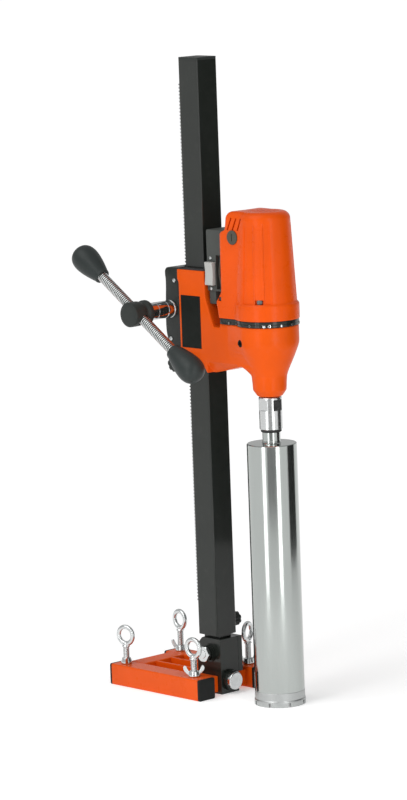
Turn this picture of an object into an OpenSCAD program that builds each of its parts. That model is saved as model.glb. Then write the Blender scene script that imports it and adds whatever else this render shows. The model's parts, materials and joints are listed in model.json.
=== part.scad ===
// Stand-mounted core drill rig: tilting square column on an anchor base,
// rack-and-pinion carriage with an electric gear motor and a hollow core bit.
// X points from the column to the bit, Y away from the feed handle, Z up.
// The origin is on the column centreline at floor level.

/* [Column] */
// Outside width of the square column tube
col_w = 50; // [50:1:50]
// Height of the top of the column above the floor
col_top = 1183; // [1150:1:1250]
// Wall of the column tube
col_t = 4; // [3:0.5:5]

/* [Base] */
// Outside width of the square base bars
bar_w = 40; // [40:1:40]
// Wall of the base bars
bar_t = 3; // [2.5:0.5:4]
// Distance of each base bar centre from the centreline
bar_y = 70; // [70:1:70]
// Rear end of the base bars
bar_x0 = -200; // [-230:1:-198]
// Front end of the base bars
bar_x1 = 36; // [34:1:60]
// Radius of the levelling screws
screw_r = 6; // [5:0.5:6]

/* [Tilt foot] */
// Height of the tilt pivot
piv_z = 76; // [76:1:76]
// Radius of the tilt pivot bolt
piv_r = 8; // [6:0.5:9]

/* [Feed] */
// Module of the rack and its pinion
rack_m = 2; // [2:1:2]
// Teeth on the feed pinion
pin_n = 14; // [14:1:14]
// Height of the feed shaft at rest
feed_z = 720; // [720:1:720]
// Radius of the feed shaft
feed_r = 10; // [9:0.5:11]
// Slope of the handle arms above the horizontal
arm_a = 34; // [0:1:90]
// Radius of the threaded handle arms
arm_r = 9.8; // [8:0.1:10]
// Distance from the feed shaft to the tip of each grip
arm_tip = 190; // [170:1:200]

/* [Drive] */
// Distance from the column centreline to the spindle
bit_x = 162; // [162:1:162]
// Distance from the column centreline to the armature
mot_x = 130; // [130:1:130]
// Centre distance of both gear stages
gear_a = 26; // [26:1:26]

/* [Core bit] */
// Outside diameter of the barrel
bit_d = 92; // [72:1:102]
// Wall of the barrel
bit_t = 2.5; // [2:0.5:4]
// Number of cutting segments
seg_n = 8; // [6:1:12]

/* [Hidden] */
$fn = 64;

orange = "orangered";
dark = [0.15, 0.16, 0.16];
zinc = [0.78, 0.79, 0.8];
steel = [0.66, 0.68, 0.68];
e = 0.05;                                  // running clearance on a radius
pin_x = -(col_w/2 + 15.2) - rack_m*pin_n/2; // feed shaft X
rack_pl = pin_x + rack_m*pin_n/2;           // rack pitch line X
lay_x = (bit_x + mot_x)/2;
wat_a = 137;                               // heading of the water inlet, degrees
lay_y = sqrt(gear_a*gear_a - pow((bit_x - mot_x)/2, 2));
SCREWS = [[-179, -bar_y, 94, 12, 137], [7, -bar_y, 94, 5, 47], [-179, bar_y, 101, -5, 20], [7, bar_y, 101, 109, 70]];

// ---------- helpers ----------
module rsq(w, h, r) {                       // rounded rectangle, centred
  square([w - 2*r, h], center = true);
  square([w, h - 2*r], center = true);
  for (x = [-1, 1], y = [-1, 1]) translate([x*(w/2 - r), y*(h/2 - r)]) circle(r);
}
module box(x0, x1, y0, y1, z0, z1) translate([x0, y0, z0]) cube([x1 - x0, y1 - y0, z1 - z0]);
module cz(x, y, z0, z1, r) translate([x, y, z0]) cylinder(r = r, h = z1 - z0);
module cy(x, z, y0, y1, r) translate([x, y0, z]) rotate([-90, 0, 0]) cylinder(r = r, h = y1 - y0);
module cx(y, z, x0, x1, r) translate([x0, y, z]) rotate([0, 90, 0]) cylinder(r = r, h = x1 - x0);
module rotate_extrude_at(x, p) translate([x, 0, 0]) rotate_extrude() polygon(p);
// cylinder along the water inlet, from radius a to b of the spindle axis
module wat(a, b, r) translate([bit_x, 0, 586.5]) rotate([0, 0, wat_a]) rotate([0, 90, 0]) translate([0, 0, a]) cylinder(r = r, h = b - a);
module conez(x, y, z0, z1, r0, r1) translate([x, y, z0]) cylinder(r1 = r0, r2 = r1, h = z1 - z0);
// XZ outline extruded along Y
module xz(y0, y1) translate([0, y1, 0]) rotate([90, 0, 0]) linear_extrude(y1 - y0) children();
module hexy(x, z, y0, y1, af) translate([x, y0, z]) rotate([-90, 0, 0]) cylinder(r = af/sqrt(3), h = y1 - y0, $fn = 6);

// involute gear outline
function degs(a) = a*180/PI;
function itheta(r, rb) = r <= rb ? 0 : degs(sqrt(pow(r/rb, 2) - 1)) - atan(sqrt(pow(r/rb, 2) - 1));
function tooth_h(n, m, pa, bl, r) = 90/n - degs(bl/2/(n*m/2)) + degs(tan(pa)) - pa - itheta(r, n*m/2*cos(pa));
function gear_pts(n, m, pa, ha, hd, bl) =
  let (rp = n*m/2, rb = rp*cos(pa), ra = rp + ha*m, rr = rp - hd*m, r1 = max(rr, rb),
       rs = concat([rr], [for (k = [0:4]) r1 + (ra - r1)*k/4]))
  [for (i = [0:n - 1], j = [0:11])
    let (r = j < 6 ? rs[j] : rs[11 - j], h = tooth_h(n, m, pa, bl, r), a = 360*i/n + (j < 6 ? -h : h))
    [r*cos(a), r*sin(a)]];
module gear(n, m, h, ha = 0.9, hd = 1.2, bl = 0.16) linear_extrude(h) polygon(gear_pts(n, m, 25, ha, hd, bl));

// ---------- base ----------
module base_side_bars() color(orange)
  for (s = [-1, 1]) difference() {
    translate([bar_x0, s*bar_y, bar_w/2]) rotate([90, 0, 90]) linear_extrude(bar_x1 - bar_x0)
      difference() { rsq(bar_w, bar_w, 3); rsq(bar_w - 2*bar_t, bar_w - 2*bar_t, 1); }
    for (q = SCREWS) if (q[1]*s > 0) cz(q[0], q[1], -1, bar_w + 1, screw_r + e);
  }

module base_cross_members() color(orange) {
  yi = bar_y - bar_w/2;
  translate([-170, -yi, bar_w/2]) rotate([-90, 0, 0]) linear_extrude(2*yi)
    difference() { rsq(bar_w, bar_w, 3); rsq(bar_w - 2*bar_t, bar_w - 2*bar_t, 1); }
  for (s = [-1, 1]) box(-25, 20, s > 0 ? 22.5 : -yi, s > 0 ? yi : -22.5, 4, 34);
}

module anchor_rails() color(orange)
  for (s = [-1, 1]) difference() {
    box(-150, -33, s*19.5 - 3, s*19.5 + 3, 8, 40);
  }

module bar_end_caps() color(dark)
  for (s = [-1, 1], d = [-1, 1]) {
    x = d > 0 ? bar_x1 : bar_x0;
    translate([d > 0 ? x : x - 5, s*bar_y, bar_w/2]) rotate([90, 0, 90]) linear_extrude(5) rsq(bar_w, bar_w, 3.5);
    translate([d > 0 ? x - 8 : x, s*bar_y, bar_w/2]) rotate([90, 0, 90]) linear_extrude(8)
      rsq(bar_w - 2*bar_t - 0.2, bar_w - 2*bar_t - 0.2, 1);
  }

module foot_block() color(dark)
  difference() {
    union() {
      box(-33, 30, -22.5, 22.5, 0, piv_z);
      box(0, 30, -22.5, 22.5, piv_z - 1, 104);
      intersection() {
        cy(0, piv_z, -22.5, 22.5, 33);
        box(-34, 0.5, -23, 23, piv_z - 1, 104);
      }
    }
    box(-25, 22.4, -14, 14, 50, 110);
    box(-40, -20, -14, 14, 60, 110);
    cy(0, piv_z, -30, 30, piv_r + e);
    cx(0, 25, -8, 40, 8);
  }

module foot_washers() color(dark) {
  difference() { cy(0, piv_z, -26, -22.5, 17); cy(0, piv_z, -30, -20, piv_r + e); }
  difference() { cy(0, piv_z, -30, -26, 14.5); cy(0, piv_z, -31, -20, piv_r + e); }
  difference() {
    union() {
      cx(0, 25, 30, 38, 18.4);
      for (i = [0:23]) translate([30, 0, 25]) rotate([i*15, 0, 0]) translate([0, -1.2, 17]) cube([8, 2.4, 2.5]);
    }
    cx(0, 25, 29, 39, 8 + e);
  }
}

module tilt_pivot_bolt() color(zinc) {
  cy(0, piv_z, -41, 34, piv_r);
  hexy(0, piv_z, 33.5, 43.5, 24);
}

module tilt_pivot_nut() color(zinc)
  difference() {
    intersection() {
      hexy(0, piv_z, -40, -30, 28);
      translate([0, -40, piv_z]) rotate([-90, 0, 0]) cylinder(r1 = 14.6, r2 = 20, h = 6);
      cy(0, piv_z, -41, -29, 16.2);
    }
    cy(0, piv_z, -45, -20, piv_r + 0.02);
  }

module tilt_clamp_plate() color(dark)
  difference() {
    union() {
      box(-14, 30, 22.5, 33.5, 37, 104);
    }
    cy(0, piv_z, 20, 40, piv_r + e);
  }

module foot_clamp_bolt() color(zinc) {
  cx(0, 25, -6, 44, 7.98);
  cx(0, 25, 38, 45.5, 16.75);
  translate([45.5, 0, 25]) rotate([0, 90, 0]) cylinder(r1 = 16.75, r2 = 14.8, h = 1.5);
}

// levelling screw with a lifting eye: q = [x, y, eye height, eye yaw, nut yaw]
module eye_screw(q) color(zinc) {
  cz(q[0], q[1], 2, q[2] - 18, screw_r);
  translate([q[0], q[1], q[2] - 21]) cylinder(r1 = screw_r, r2 = 5.2, h = 4.5);
  translate([q[0], q[1], q[2]]) rotate([0, 0, q[3]]) rotate([90, 0, 0])
    rotate_extrude() translate([16, 0]) circle(4.4);
}
module levelling_screw_rear_near() eye_screw(SCREWS[0]);
module levelling_screw_front_near() eye_screw(SCREWS[1]);
module levelling_screw_rear_far() eye_screw(SCREWS[2]);
module levelling_screw_front_far() eye_screw(SCREWS[3]);

module wing_nut(q) color(zinc)
  translate([q[0], q[1], bar_w]) rotate([0, 0, q[4]]) difference() {
    union() {
      cylinder(r = 10.5, h = 4);
      translate([0, 0, 4]) cylinder(r1 = 10.2, r2 = 8.8, h = 7);
      for (s = [-1, 1]) mirror([s > 0 ? 0 : 1, 0, 0]) translate([0, 2, 0]) rotate([90, 0, 0]) linear_extrude(4)
        polygon([[7, 1], [9.5, 1], [14, 6], [19, 13], [19.5, 18], [17.5, 20.5], [14, 20], [11, 14], [8, 8]]);
    }
    translate([0, 0, -1]) cylinder(r = screw_r + e, h = 30);
  }
module wing_nut_rear_near() wing_nut(SCREWS[0]);
module wing_nut_front_near() wing_nut(SCREWS[1]);
module wing_nut_rear_far() wing_nut(SCREWS[2]);
module wing_nut_front_far() wing_nut(SCREWS[3]);

// ---------- column ----------
module column_tube() color(dark)
  difference() {
    translate([0, 0, 110]) linear_extrude(col_top - 5 - 110)
      difference() { rsq(col_w, col_w, 3); rsq(col_w - 2*col_t, col_w - 2*col_t, 1); }
    cy(0, 130, 15, 30, 5 + e);
  }

module column_cap() color(dark)
  difference() {
    union() {
      translate([0, 0, col_top - 5]) linear_extrude(5) rsq(col_w, col_w, 3);
      translate([0, 0, col_top - 25]) linear_extrude(20) rsq(col_w - 2*col_t - 0.2, col_w - 2*col_t - 0.2, 1);
    }
    translate([0, 0, col_top - 30]) linear_extrude(27) rsq(34, 34, 2);
  }

rack_z0 = 163;
rack_k0 = -ceil((feed_z - rack_z0)/(PI*rack_m)) + 1;
rack_k1 = floor((1140 - feed_z)/(PI*rack_m)) - 1;
function rack_pts() = [for (k = [rack_k0:rack_k1], j = [0:3])
  let (p = PI*rack_m, zc = feed_z + (k + 0.5)*p, t = tan(25),
       wr = p/2 - 0.1 + 2*1.2*rack_m*t, wt = p/2 - 0.1 - 2*0.95*rack_m*t)
  j == 0 ? [rack_pl + 1.2*rack_m, zc - wr/2] : j == 1 ? [rack_pl - 0.95*rack_m, zc - wt/2] :
  j == 2 ? [rack_pl - 0.95*rack_m, zc + wt/2] : [rack_pl + 1.2*rack_m, zc + wr/2]];
module column_rack() color(dark)
  xz(-10, 10) polygon(concat([[-col_w/2, 1142], [-col_w/2, rack_z0 - 2], [rack_pl + 1.2*rack_m, rack_z0 - 2]],
    rack_pts(), [[rack_pl + 1.2*rack_m, 1142]]));

module tilt_tongue() color(dark)
  difference() {
    union() {
      cy(0, piv_z, -13.8, 13.8, 21);
      box(-21, 21, -13.8, 13.8, piv_z, 110);
      translate([0, 0, 110]) linear_extrude(52) rsq(col_w - 2*col_t - 0.2, col_w - 2*col_t - 0.2, 1);
    }
    cy(0, piv_z, -20, 20, piv_r + e);
    cy(0, 130, 8, 30, 5 + e);
  }

module column_clamp_knob() color(dark) {
  cy(0, 130, 10, 31, 5);
  cy(0, 130, 25.4, 33, 8);
  difference() {
    cy(0, 130, 32, 50, 13.5);
    for (i = [0:7]) translate([15.6*cos(i*45), 0, 130 + 15.6*sin(i*45)]) cy(0, 0, 30, 52, 3.6);
  }
}

// ---------- carriage and gear case ----------
module casting_side() polygon([[-33, 645], [-33, 795], [40, 795], [40, 747], [60, 694], [78, 694], [78, 701.5], [130, 701.5],
  [135, 660], [128, 625], [104, 620], [79, 614], [58, 609.5], [40, 606], [35, 614], [26, 623], [14, 632], [2, 638], [-10, 642], [-20, 644.4]]);

module carriage_casting() color(orange)
  difference() {
    union() {
      xz(-40, 40) casting_side();
      box(-33, -6, -40, -27.2, 608, 646);
      rotate_extrude_at(bit_x, [[0, 571], [23, 571], [30.4, 582], [32.4, 609], [42.3, 633], [51.6, 655], [56.5, 670], [56.5, 701.5], [0, 701.5]]);
      cy(142, 671, -54.5, -40, 7);
      wat(20, 36, 10.5);
    }
    box(-40, 27.2, -27.2, 27.2, 560, 800);             // column passage
    cz(bit_x, 0, 672, 710, 49);                         // gear chamber
    conez(bit_x, 0, 641, 672, 38.5, 49);
    cz(lay_x, lay_y, 632, 641, 12);                     // layshaft lower bearing seat
    cz(bit_x, 0, 628, 642, 13.6);
    cz(bit_x, 0, 596, 629, 23.5);                       // main bearing seats
    cz(bit_x, 0, 570, 597, 20.5);                       // shaft seal seats and water chamber
    wat(0, 40, 4);                                      // water passage
    wat(26, 40, 7);                                     // water fitting seat
    for (s = [-1, 1]) box(-24.4, 27.6, s > 0 ? 38.5 : -41, s > 0 ? 41 : -38.5, 651, 748);
    cy(-20, 624, -45, -20, 5 + e);                      // lock screw
    cy(142, 671, -56, -51, 4.5);
    for (s = [-1, 1]) translate([40, 0, 0]) rotate([90, 0, 90]) linear_extrude(82) polygon([[s*41, 630.2], [s*41, 590], [s*7.3, 590]]);
    for (a = CASE_A) cz(bit_x + 52*cos(a), 52*sin(a), 685, 705, 2.0);
  }
CASE_A = [-110, -60, -20, 20, 60, 110];

module side_panels() color(dark)
  for (s = [-1, 1]) box(-24.2, 27.4, s > 0 ? 38.5 : -40.1, s > 0 ? 40.1 : -38.5, 651.2, 747.8);

module pinion_housing() color(dark)
  difference() {
    union() {
      xz(-36, 36) polygon([[-33, 645], [-33, 797], [-61, 797], [-67.5, 794.2], [-70.5, 789], [-70.6, 782], [-69.3, 774],
        [-69.4, 758], [-72.3, 715], [-72.3, 684], [-71.5, 672], [-67.5, 661], [-61, 652.5], [-52, 647]]);
      box(-33.5, -27.3, -27, 27, 650, 795);
    }
    box(-46, -20, -12.5, 12.5, 640, 810);               // rack slot
    cy(pin_x, feed_z, -13, 13, 16.5);                   // pinion chamber
    box(pin_x, -30, -13, 13, feed_z - 16.5, feed_z + 16.5);
    cy(pin_x, feed_z, -40, 40, 13);                     // bush seats
    for (s = [-1, 1]) cy(-44, 773, s > 0 ? 28 : -38, s > 0 ? 38 : -28, 2.5);
    for (s = [-1, 1]) cy(-58, 664, s > 0 ? 28 : -38, s > 0 ? 38 : -28, 2.5);
  }

module case_screws() color(zinc) {
  for (s = [-1, 1], p = [[-44, 773], [-58, 664]]) {
    cy(p[0], p[1], s > 0 ? 28 : -36, s > 0 ? 36 : -28, 2.48);
    cy(p[0], p[1], s > 0 ? 36 : -38.2, s > 0 ? 38.2 : -36, 4.4);
  }
  for (a = CASE_A) {
    cz(bit_x + 52*cos(a), 52*sin(a), 687, 713, 1.98);
    cz(bit_x + 52*cos(a), 52*sin(a), 713, 716, 3.4);
  }
  difference() { cy(142, 671, -53.4, -51, 4.4); translate([142, -55, 671]) rotate([-90, 0, 0]) cylinder(r = 2.3, h = 3, $fn = 6); }
}

module slide_pads() color([0.9, 0.9, 0.86]) {
  for (z = [657, 765]) {
    for (s = [-1, 1]) box(-18, 18, s > 0 ? 25.1 : -27.2, s > 0 ? 27.2 : -25.1, z, z + 25);
    for (s = [-1, 1]) box(-27.3, -25.1, s > 0 ? 14 : -23, s > 0 ? 23 : -14, z, z + 25);
  }
  for (z = [625, 765]) box(25.1, 27.2, -18, 18, z, z + 25);
}

module column_wiper() color(dark)
  difference() {
    union() {
      translate([2.5, 0, 795]) linear_extrude(3) rsq(71, 76, 4);
    }
    box(-40, 25.4, -25.4, 25.4, 790, 805);
    box(-50, -20, -36.5, 36.5, 790, 805);
  }

module feed_bushes() color(zinc)
  for (s = [-1, 1]) difference() {
    union() {
      cy(pin_x, feed_z, s > 0 ? 13 : -36, s > 0 ? 36 : -13, 12.98);
      cy(pin_x, feed_z, s > 0 ? 36 : -42, s > 0 ? 40 : -36, 17);
    }
    cy(pin_x, feed_z, -60, 60, feed_r + e);
  }

module carriage_lock_knob() color(dark) {
  cy(-20, 624, -50, -25.4, 5);
  cy(-20, 624, -51, -40.4, 8);
  difference() {
    cy(-20, 624, -68, -50, 15.5);
    for (i = [0:7]) translate([-20 + 17.8*cos(i*45 + 22.5), 0, 624 + 17.8*sin(i*45 + 22.5)]) cy(0, 0, -70, -48, 4);
  }
}

// ---------- feed drive ----------
module feed_pinion() color(steel)
  translate([pin_x, 10, feed_z]) rotate([90, 0, 0]) difference() {
    gear(pin_n, rack_m, 20, ha = 0.95, hd = 1.2, bl = 0.2);
    translate([0, 0, -1]) cylinder(r = feed_r, h = 22);
  }

module feed_shaft() color(steel) {
  cy(pin_x, feed_z, -107, 42, feed_r - 0.01);
  cy(pin_x, feed_z, 40.4, 46, 15);
}

module feed_neck_sleeve() color(zinc)
  difference() {
    cy(pin_x, feed_z, -98, -42.4, 15.5);
    cy(pin_x, feed_z, -100, -40, feed_r);
  }

module handle_hub() color(dark)
  difference() {
    union() {
      cy(pin_x, feed_z, -143, -98, 23);
      translate([pin_x, -143, feed_z]) rotate([90, 0, 0]) cylinder(r1 = 23, r2 = 21, h = 2);
    }
    cy(pin_x, feed_z, -107.2, -90, feed_r);
    translate([pin_x, -121, feed_z]) rotate([0, arm_a - 90, 0]) translate([0, 0, -30]) cylinder(r = arm_r, h = 60);
  }

module arm_at(s) translate([pin_x, -121, feed_z]) rotate([0, arm_a - 90 + (s < 0 ? 180 : 0), 0]) children();

module handle_rod() color(zinc)
  arm_at(1) translate([0, 0, -arm_tip + 50]) cylinder(r = arm_r - 0.01, h = 2*(arm_tip - 50));

module handle_grips() color(dark)
  for (s = [-1, 1]) arm_at(s) difference() {
    rotate_extrude() polygon([[0, 110], [14, 110], [14.8, 111], [16.5, 118], [20, 132], [23.2, 146], [24.8, 156], [25.2, 163],
      [24.8, 170], [23, 177], [19.5, 183], [14, 187.4], [7, 189.6], [0, arm_tip]]);
    translate([0, 0, 100]) cylinder(r = arm_r, h = arm_tip - 50 - 100 + 0.5);
  }

// ---------- motor ----------
module bearing_plate() color(dark)
  difference() {
    union() {
      cz(bit_x, 0, 701.5, 713, 58);
      xz(-44, 44) polygon([[80, 701.5], [80, 713], [150, 713], [150, 701.5]]);
    }
    cz(mot_x, 0, 700, 709.5, 12);
    cz(lay_x, lay_y, 700, 709.5, 12);
    cz(mot_x, 0, 700, 725, 7);
    for (a = CASE_A) cz(bit_x + 52*cos(a), 52*sin(a), 700, 725, 2.0);
    for (s = [-1, 1]) box(88, 108, s*26 - 12, s*26 + 12, 707, 725);
  }

module cover_outer(d) {
  conez(bit_x, 0, 742, 893, 54.9 - d, 47.4 - d);
  rotate_extrude_at(bit_x, [[0, 884], [47.9 - d, 884], [47.4 - d, 893], [45.8 - d, 898.5], [42 - d, 903.5 - d*0.6], [36.5 - d, 907 - d], [28, 909 - d], [0, 909.5 - d]]);
  if (d == 0) { cz(bit_x, 0, 713, 740, 59); conez(bit_x, 0, 740, 745, 59, 54.8); }
  else cz(bit_x, 0, 712, 742, 55.9);
  xz(-45 + d, 45 - d) polygon([[76 + d, 712], [76 + d, 742 - d], [88 + d, 758], [88 + d, 868 - d], [102 + d, 874 - d], [104 + d, 890 - d],
    [108 + d, 899 - d], [117, 905 - d], [140, 907 - d], [150, 907 - d], [150, 712]]);
}

module motor_cover() color(orange) {
  difference() {
    union() { cz(mot_x, 0, 884, 900, 16); cz(mot_x, 0, 899, 904.5, 12); }
    cz(mot_x, 0, 880, 893, 13.01);
    cz(mot_x, 0, 880, 898, 8);
  }
  difference() {
    intersection() { cover_outer(0); box(60, 240, -70, 70, 713, 920); }
    intersection() {
      cover_outer(3.2);
      box(60, 240, -70, 70, 700, 920);
    }
    for (s = [-1, 1]) {
      for (i = [0:2]) translate([116 + 13*i, s*45, 886]) rotate([0, 24, 0]) cube([3.4, 14, 24], center = true);
      cy(124, 862, s > 0 ? 40 : -46, s > 0 ? 46 : -40, 12);
    }
  }
}

module brush_caps() color([0.3, 0.31, 0.31])
  for (s = [-1, 1]) mirror([0, s > 0 ? 1 : 0, 0]) difference() {
    union() { cy(124, 862, -45, -38, 11.95); cy(124, 862, -46.2, -45, 13); }
    box(114.5, 133.5, -47, -44.6, 861, 863);
  }

module carbon_brushes() color([0.2, 0.2, 0.2])
  for (s = [-1, 1]) mirror([0, s > 0 ? 1 : 0, 0]) {
    box(126, 134, -36, -16.4, 856, 868);
    difference() {
      box(123.5, 136.5, -38, -20, 853.5, 870.5);
      box(125.9, 134.1, -39, -15, 855.9, 868.1);
    }
  }

module stator() color([0.35, 0.35, 0.38]) {
  difference() {
    cz(mot_x, 0, 748, 832, 38.4);
    cz(mot_x, 0, 740, 840, 27.6);
    for (a = [0, 180]) rotate([0, 0, 0]) translate([mot_x, 0, 0]) rotate([0, 0, a]) box(20, 34, -14, 14, 740, 840);
  }
  for (a = [0, 180]) translate([mot_x, 0, 0]) rotate([0, 0, a]) box(28.5, 34, -13.9, 13.9, 744, 838);
}

module ring(x, y, z0, z1, ro, ri) difference() { cz(x, y, z0, z1, ro); cz(x, y, z0 - 1, z1 + 1, ri); }

module ball_bearings() color(steel) {
  ring(mot_x, 0, 702, 709, 11.98, 6 + e);
  ring(lay_x, lay_y, 702, 709, 11.98, 6 + e);
  ring(lay_x, lay_y, 634, 640.5, 11.98, 6 + e);
  ring(bit_x, 0, 616.5, 628.5, 23.48, 12.5 + e);
  ring(bit_x, 0, 597.5, 609.5, 23.48, 12.5 + e);
  ring(mot_x, 0, 885, 893, 13, 6 + e);
}

module shaft_seals() color(dark) for (z = [577, 590]) ring(bit_x, 0, z, z + 6, 20.48, 12.5 + e);

// ---------- switch, cable gland, water ----------
module switch_box() color([0.33, 0.34, 0.34])
  difference() {
    union() {
      box(44, 88, -36, 36, 759, 872);
      box(44.8, 64, -32, 32, 735, 760);
    }
    box(47, 85, -33, 33, 762, 869);
    box(45.9, 67.1, -37, -27, 769.4, 814.6);
    cx(-34.5, 792, 44.4, 69.6, 1.25);
    cy(66, 785, 30, 40, 7);
  }

module rocker_switch() color([0.75, 0.76, 0.76]) {
  translate([56.5, 0, 792]) rotate([90, 0, 90]) translate([0, 0, -10]) linear_extrude(20)
    polygon([[-30.5, -20.9], [-30.5, 20.9], [-38, 21.4], [-44.5, 21], [-42.4, 0], [-44.5, -21], [-38, -21.4]]);
  cx(-34.5, 792, 44.6, 69.4, 1.2);
}

module switch_module() color(dark) {
  box(47.2, 80, -26, -4, 770, 824);
  for (i = [0:2]) box(52 + 9*i, 55 + 9*i, -4, 4, 790, 804);
}

module cable_gland() color(dark)
  difference() {
    union() { cy(66, 785, 30, 48, 6.98); cy(66, 785, 36, 42, 9); }
    cy(66, 785, 28, 50, 4.5);
  }

module water_inlet() color([0.75, 0.6, 0.3])
  difference() {
    union() { wat(26.2, 40, 6.98); wat(36, 44, 9.5); wat(44, 64, 6); }
    wat(20, 70, 3.5);
  }

// ---------- armature, layshaft, spindle ----------
module armature_shaft() color(steel) {
  cz(mot_x, 0, 692, 892, 6);
  cz(mot_x, 0, 691.5, 697, 7.2);
  translate([mot_x, 0, 674]) rotate([0, 0, atan2(lay_y, lay_x - mot_x)]) gear(11, 1, 20);
}
module armature_core() color([0.62, 0.36, 0.2]) difference() {
  union() { cz(mot_x, 0, 752, 828, 27); cz(mot_x, 0, 743, 752, 21); cz(mot_x, 0, 828, 839, 21); }
  cz(mot_x, 0, 740, 845, 6.01);
}
module commutator() color([0.75, 0.45, 0.25]) difference() {
  cz(mot_x, 0, 850, 874, 16);
  cz(mot_x, 0, 840, 880, 6.01);
}
module cooling_fan() color(dark) difference() {
  union() {
    cz(mot_x, 0, 724, 727, 36);
    cz(mot_x, 0, 727, 738, 10);
    for (i = [0:11]) translate([mot_x, 0, 727]) rotate([0, 0, i*30]) translate([9, -1, 0]) cube([26.5, 2, 11]);
  }
  cz(mot_x, 0, 720, 745, 6.01);
}

lay_to_mot = atan2(-lay_y, mot_x - lay_x);
lay_to_bit = atan2(-lay_y, bit_x - lay_x);
module layshaft_gears() color(steel) {
  cz(lay_x, lay_y, 634, 709, 6);
  translate([lay_x, lay_y, 676]) rotate([0, 0, lay_to_mot + 180/41]) gear(41, 1, 14, ha = 0.78, bl = 0.24);
  translate([lay_x, lay_y, 648]) rotate([0, 0, lay_to_bit]) gear(11, 1.3, 24, ha = 0.85, bl = 0.32);
}
module spindle_gear() color(steel)
  translate([bit_x, 0, 650]) rotate([0, 0, lay_to_bit + 180 + 180/29]) difference() {
    gear(29, 1.3, 20, ha = 0.72, bl = 0.32);
    translate([0, 0, -1]) cylinder(r = 12.5, h = 22);
  }
module spindle() color(steel) difference() {
  union() {
    cz(bit_x, 0, 543, 672, 12.49);
    cz(bit_x, 0, 642, 649.8, 16);
  }
  cz(bit_x, 0, 540, 592, 5);
  cy(bit_x, 586.5, -14, 14, 2.5);
}

module bit_adapter() color(steel)
  difference() {
    union() { cz(bit_x, 0, 510, 568.5, 21.2); conez(bit_x, 0, 568.5, 570.5, 21.2, 19.2); }
    cz(bit_x, 0, 542.5, 580, 12.5);
    cz(bit_x, 0, 500, 532, 14);
    cz(bit_x, 0, 530, 545, 5);
    for (s = [-1, 1]) box(bit_x - 30, bit_x + 30, s > 0 ? 18.5 : -30, s > 0 ? 30 : -18.5, 545, 565);
  }
module adapter_ring() color(dark) ring(bit_x, 0, 505, 510, 19, 14);

module core_bit() color(steel)
  difference() {
    union() {
      cz(bit_x, 0, 26, 483, bit_d/2);
      conez(bit_x, 0, 483, 484.5, bit_d/2, bit_d/2 - 1.5);
      cz(bit_x, 0, 484, 505, 16.5);
      cz(bit_x, 0, 504, 531, 13.98);
    }
    cz(bit_x, 0, 20, 475, bit_d/2 - bit_t);
    cz(bit_x, 0, 470, 540, 5);
  }
module bit_crown() color([0.8, 0.8, 0.79])
  difference() {
    ring(bit_x, 0, 0, 26, bit_d/2 + 1.2, bit_d/2 - 3.2);
    for (i = [0:seg_n - 1]) translate([bit_x, 0, 0]) rotate([0, 0, i*360/seg_n + 22]) box(35, 60, -2.25, 2.25, -1, 8.5);
  }

base_side_bars();
base_cross_members();
anchor_rails();
bar_end_caps();
foot_block();
foot_washers();
tilt_pivot_bolt();
tilt_pivot_nut();
tilt_clamp_plate();
foot_clamp_bolt();
levelling_screw_rear_near();
levelling_screw_front_near();
levelling_screw_rear_far();
levelling_screw_front_far();
wing_nut_rear_near();
wing_nut_front_near();
wing_nut_rear_far();
wing_nut_front_far();
column_tube();
column_cap();
column_rack();
tilt_tongue();
column_clamp_knob();
carriage_casting();
side_panels();
pinion_housing();
case_screws();
slide_pads();
column_wiper();
feed_bushes();
carriage_lock_knob();
feed_pinion();
feed_shaft();
feed_neck_sleeve();
handle_hub();
handle_rod();
handle_grips();
bearing_plate();
motor_cover();
brush_caps();
carbon_brushes();
stator();
ball_bearings();
shaft_seals();
switch_box();
switch_module();
rocker_switch();
cable_gland();
water_inlet();
armature_shaft();
armature_core();
commutator();
cooling_fan();
layshaft_gears();
spindle();
spindle_gear();
bit_adapter();
adapter_ring();
core_bit();
bit_crown();
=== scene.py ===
import json, math, random
import bpy, bmesh
from mathutils import Vector, Matrix, noise


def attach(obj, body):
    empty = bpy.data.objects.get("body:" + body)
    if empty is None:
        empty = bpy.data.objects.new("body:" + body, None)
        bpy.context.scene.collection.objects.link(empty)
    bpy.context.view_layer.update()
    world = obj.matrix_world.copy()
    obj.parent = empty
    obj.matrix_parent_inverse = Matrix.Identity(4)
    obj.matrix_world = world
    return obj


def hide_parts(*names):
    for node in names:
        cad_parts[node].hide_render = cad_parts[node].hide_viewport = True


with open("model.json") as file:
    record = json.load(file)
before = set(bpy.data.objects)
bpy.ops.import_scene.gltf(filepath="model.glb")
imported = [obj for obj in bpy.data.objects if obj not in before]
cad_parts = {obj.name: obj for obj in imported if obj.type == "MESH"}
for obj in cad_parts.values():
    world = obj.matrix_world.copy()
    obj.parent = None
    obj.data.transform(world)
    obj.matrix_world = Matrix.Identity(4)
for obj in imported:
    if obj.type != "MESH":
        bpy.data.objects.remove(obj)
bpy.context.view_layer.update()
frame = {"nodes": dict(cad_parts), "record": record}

MM = 0.001
NODES = frame["nodes"]
COLL = bpy.context.scene.collection
BODY_OF = {n: b for b, ns in frame["record"]["behaviour"]["bodies"].items() for n in ns}
SLOT_OF = {s["node"]: s["material_slot"] for s in frame["record"]["subparts"]}

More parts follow.
